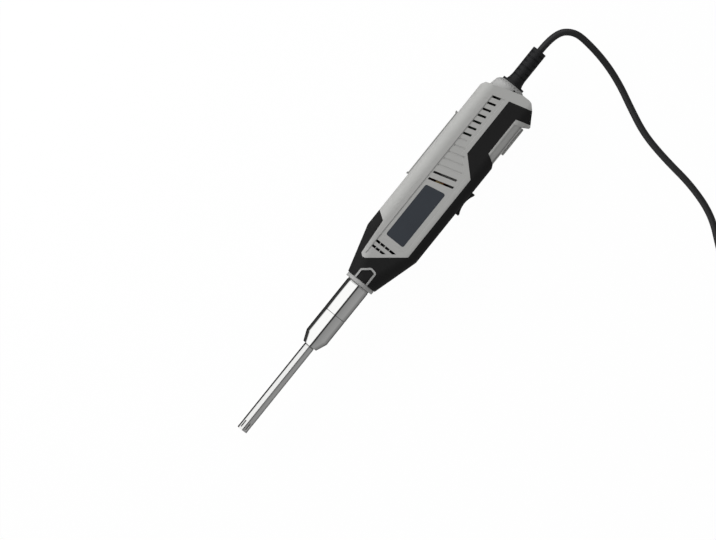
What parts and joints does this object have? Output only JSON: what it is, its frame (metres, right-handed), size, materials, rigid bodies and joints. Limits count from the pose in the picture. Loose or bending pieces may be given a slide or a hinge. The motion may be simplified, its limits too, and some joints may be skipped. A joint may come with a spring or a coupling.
{
  "type": "rotor stator homogenizer",
  "caption": "Hand-held rotor stator homogenizer: a slim mains motor drive with a spindle lock, slide switch and speed dial carries a stainless sleeve and a slotted dispersing tube.",
  "frame": {"origin": "centre of the stator's open tip, on the rotor axis", "axes": "+X along the rotor axis from the tip to the cord, +Y towards the top plate, away from the slide switch, +Z towards the left side, which has the spindle lock; the tool is stored lying on its right side, so the floor is at z = -24 mm"},
  "size_m": [0.4798, 0.3963, 0.048],
  "materials": {
    "aluminium": "plain machined aluminium",
    "black_plastic": "black moulded plastic",
    "black_rubber": "black soft overmould, matt",
    "board_green": "glass fibre board with green mask",
    "brass": "pressed brass",
    "cage_brass": "brass cage with steel balls",
    "capacitor_yellow": "boxed film capacitor",
    "carbon": "pressed carbon",
    "copper": "varnished copper",
    "cord_black": "black cord jacket, satin",
    "grey_plastic": "mid grey moulded plastic, fine spark texture",
    "label_plastic": "dark blue-grey inlay, bare",
    "lamination_steel": "stacked steel laminations",
    "light_grey_plastic": "light grey moulded plastic",
    "nickel_pins": "nickel plated brass",
    "plate_grey": "grey moulded plastic",
    "ptfe": "white fluoropolymer",
    "screw_steel": "black zinc plated steel",
    "spring_steel": "spring wire",
    "steel_shaft": "ground steel",
    "steel_sleeve": "polished stainless steel",
    "steel_tube": "ground stainless steel, fine turning marks along the tube",
    "tie_black": "black hook and loop strap"
  },
  "bodies": {
    "root": {"brush_holders": "brass", "brush_springs": "spring_steel", "carbon_brushes": "carbon", "clamp_screws": "screw_steel", "coil_tie": "tie_black", "cord_boot": "black_rubber", "cord_clamp": "black_plastic", "cord_coil": "cord_black", "cord_tail": "cord_black", "coupling_sleeve": "steel_sleeve", "fan_baffle": "black_plastic", "field_coils": "copper", "field_core": "lamination_steel", "front_bearing_outer_ring": "steel_shaft", "front_sleeve": "steel_sleeve", "housing_screws": "screw_steel", "inner_lead": "cord_black", "left_grip": "black_rubber", "left_housing": "grey_plastic", "left_label_plate": "label_plastic", "lock_bezel": "light_grey_plastic", "nose_ring": "light_grey_plastic", "plug_body": "black_plastic", "plug_pins": "nickel_pins", "potentiometer": "aluminium", "power_cord": "cord_black", "rear_bearing_outer_ring": "steel_shaft", "right_grip": "black_rubber", "right_housing": "grey_plastic", "right_label_plate": "label_plastic", "shaft_bushes": "ptfe", "shaft_seal": "black_rubber", "speed_board": "board_green", "stator_tube": "steel_tube", "suppression_capacitor": "capacitor_yellow", "switch_body": "black_plastic", "tail_collar": "grey_plastic", "top_plate": "plate_grey", "union_gasket": "black_rubber"},
    "rotor": {"rotor_knife": "steel_tube", "drive_shaft": "steel_shaft", "shaft_coupling": "aluminium", "spindle": "steel_shaft", "motor_coupling": "black_plastic", "motor_shaft": "steel_shaft", "armature_core": "lamination_steel", "armature_winding": "copper", "commutator": "copper", "fan": "black_plastic", "front_bearing_inner_ring": "steel_shaft", "rear_bearing_inner_ring": "steel_shaft"},
    "front_balls": {"front_bearing_ball_cage": "cage_brass"},
    "rear_balls": {"rear_bearing_ball_cage": "cage_brass"},
    "slide_switch": {"slide_button": "black_plastic", "switch_link": "black_plastic"},
    "lock_button": {"lock_button": "black_plastic", "lock_spring": "spring_steel"},
    "speed_dial": {"speed_dial": "plate_grey", "dial_shaft": "aluminium"}
  },
  "joints": [
    {"name": "rotor_spin", "type": "hinge", "parent": "root", "child": "rotor", "pos_m": [0.1, 0, 0], "axis": [1, 0, 0], "continuous": true},
    {"name": "front_balls_spin", "type": "hinge", "parent": "root", "child": "front_balls", "pos_m": [0.192, 0, 0], "axis": [1, 0, 0], "continuous": true},
    {"name": "rear_balls_spin", "type": "hinge", "parent": "root", "child": "rear_balls", "pos_m": [0.2915, 0, 0], "axis": [1, 0, 0], "continuous": true},
    {"name": "switch_slide", "type": "slide", "parent": "root", "child": "slide_switch", "axis": [1, 0, 0], "range_m": [-0.006, 0]},
    {"name": "lock_press", "type": "slide", "parent": "root", "child": "lock_button", "axis": [0, 0, -1], "range_m": [0, 0.002], "stiffness_N_per_m": 400, "springref_m": -0.002, "deforming": ["lock_spring"]},
    {"name": "dial_turn", "type": "hinge", "parent": "root", "child": "speed_dial", "pos_m": [0.3502, -0.0265, 0], "axis": [0, 1, 0], "range_deg": [0, 270]}
  ],
  "couplings": [
    {"joint": "front_balls_spin", "follows": "rotor_spin", "ratio": 0.3867},
    {"joint": "rear_balls_spin", "follows": "rotor_spin", "ratio": 0.384}
  ]
}
